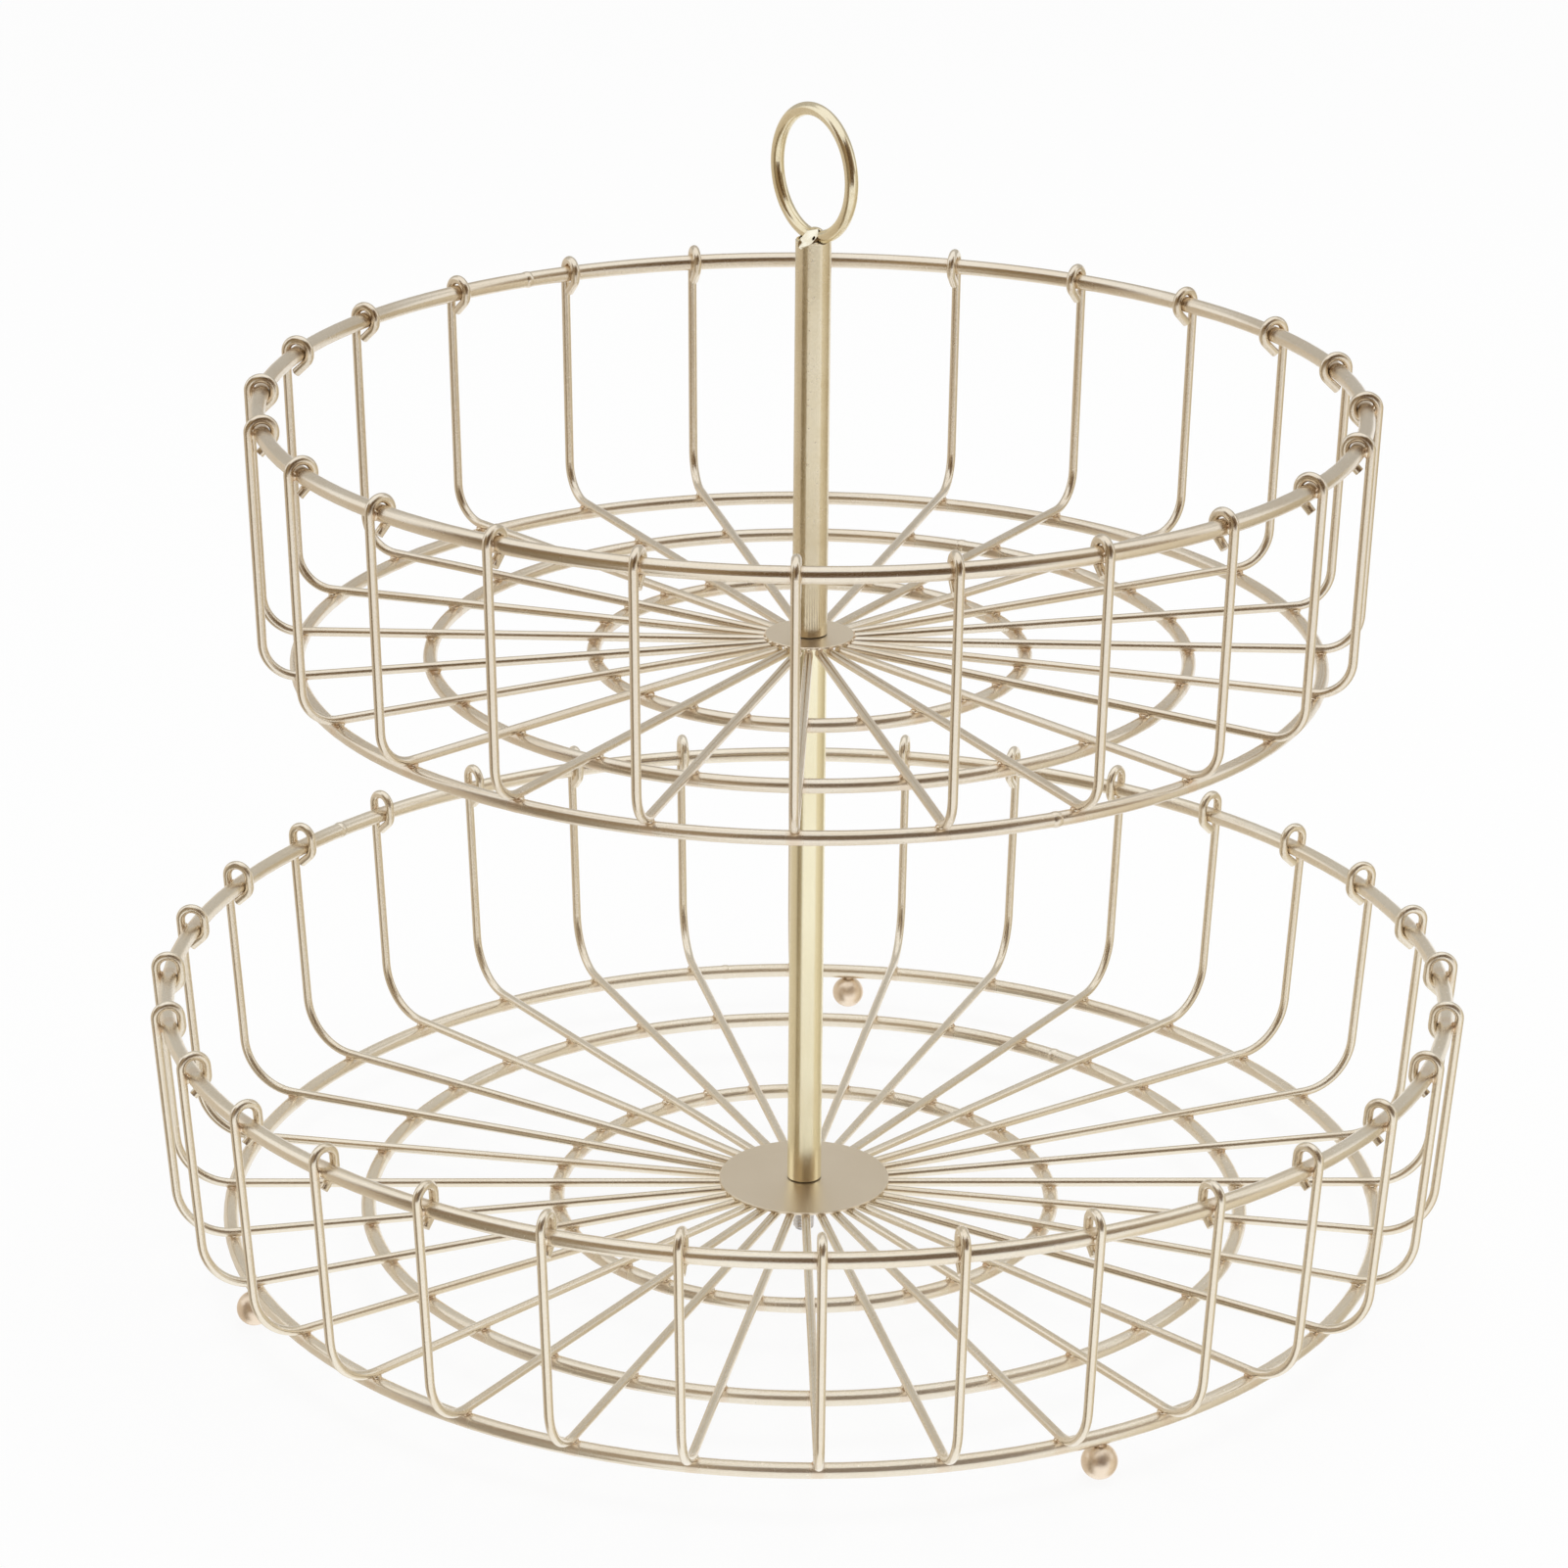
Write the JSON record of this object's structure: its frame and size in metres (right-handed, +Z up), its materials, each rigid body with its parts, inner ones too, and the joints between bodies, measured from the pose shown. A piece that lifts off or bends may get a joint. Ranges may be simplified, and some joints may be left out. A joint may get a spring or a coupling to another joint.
{
  "type": "tiered wire basket",
  "caption": "Round tiered wire basket: a wide lower and a smaller upper basket of welded wire on a centre pole, with a ring handle on top and ball feet.",
  "frame": {"origin": "on the floor, on the axis of the centre pole", "axes": "+Z up along the pole; -Y towards the front of the picture, +X to its right"},
  "size_m": [0.3044, 0.3044, 0.2725],
  "materials": {
    "gold_wire": "satin",
    "gold_tube": "satin",
    "gold_plate": "satin",
    "zinc_steel": "satin"
  },
  "bodies": {
    "lower_basket": {"ball_foot_1": "gold_wire", "ball_foot_2": "gold_wire", "ball_foot_3": "gold_wire", "bottom_nut": "zinc_steel", "bottom_stud": "zinc_steel", "bottom_washer": "zinc_steel", "joining_stud": "zinc_steel", "lower_base_ring_inner": "gold_wire", "lower_base_ring_middle": "gold_wire", "lower_base_ring_outer": "gold_wire", "lower_hub_disc": "gold_plate", "lower_ribs_01": "gold_wire", "lower_ribs_02": "gold_wire", "lower_ribs_03": "gold_wire", "lower_ribs_04": "gold_wire", "lower_ribs_05": "gold_wire", "lower_ribs_06": "gold_wire", "lower_ribs_07": "gold_wire", "lower_ribs_08": "gold_wire", "lower_ribs_09": "gold_wire", "lower_ribs_10": "gold_wire", "lower_ribs_11": "gold_wire", "lower_ribs_12": "gold_wire", "lower_ribs_13": "gold_wire", "lower_ribs_14": "gold_wire", "lower_ribs_15": "gold_wire", "lower_ribs_16": "gold_wire", "lower_rim": "gold_wire", "lower_tube": "gold_tube", "lower_tube_foot_insert": "zinc_steel", "lower_tube_head_insert": "zinc_steel"},
    "upper_basket": {"upper_base_ring_inner": "gold_wire", "upper_base_ring_middle": "gold_wire", "upper_base_ring_outer": "gold_wire", "upper_hub_disc": "gold_plate", "upper_ribs_01": "gold_wire", "upper_ribs_02": "gold_wire", "upper_ribs_03": "gold_wire", "upper_ribs_04": "gold_wire", "upper_ribs_05": "gold_wire", "upper_ribs_06": "gold_wire", "upper_ribs_07": "gold_wire", "upper_ribs_08": "gold_wire", "upper_ribs_09": "gold_wire", "upper_ribs_10": "gold_wire", "upper_ribs_11": "gold_wire", "upper_ribs_12": "gold_wire", "upper_rim": "gold_wire"},
    "upper_pole_thread": {"upper_tube_insert": "zinc_steel"},
    "upper_pole": {"upper_tube": "gold_tube", "ring_handle": "gold_wire"}
  },
  "joints": [
    {"name": "upper_basket_turn", "type": "hinge", "parent": "lower_basket", "child": "upper_basket", "pos_m": [0, 0, 0.14948], "axis": [0, 0, 1], "continuous": true},
    {"name": "upper_pole_rise", "type": "slide", "parent": "lower_basket", "child": "upper_pole_thread", "axis": [0, 0, 1], "range_m": [0, 0.008]},
    {"name": "upper_pole_turn", "type": "hinge", "parent": "upper_pole_thread", "child": "upper_pole", "pos_m": [0, 0, 0.15008], "axis": [0, 0, 1], "range_deg": [0, 3600]}
  ],
  "couplings": [
    {"joint": "upper_pole_rise", "follows": "upper_pole_turn", "m_per_rad": 0.00012732}
  ]
}
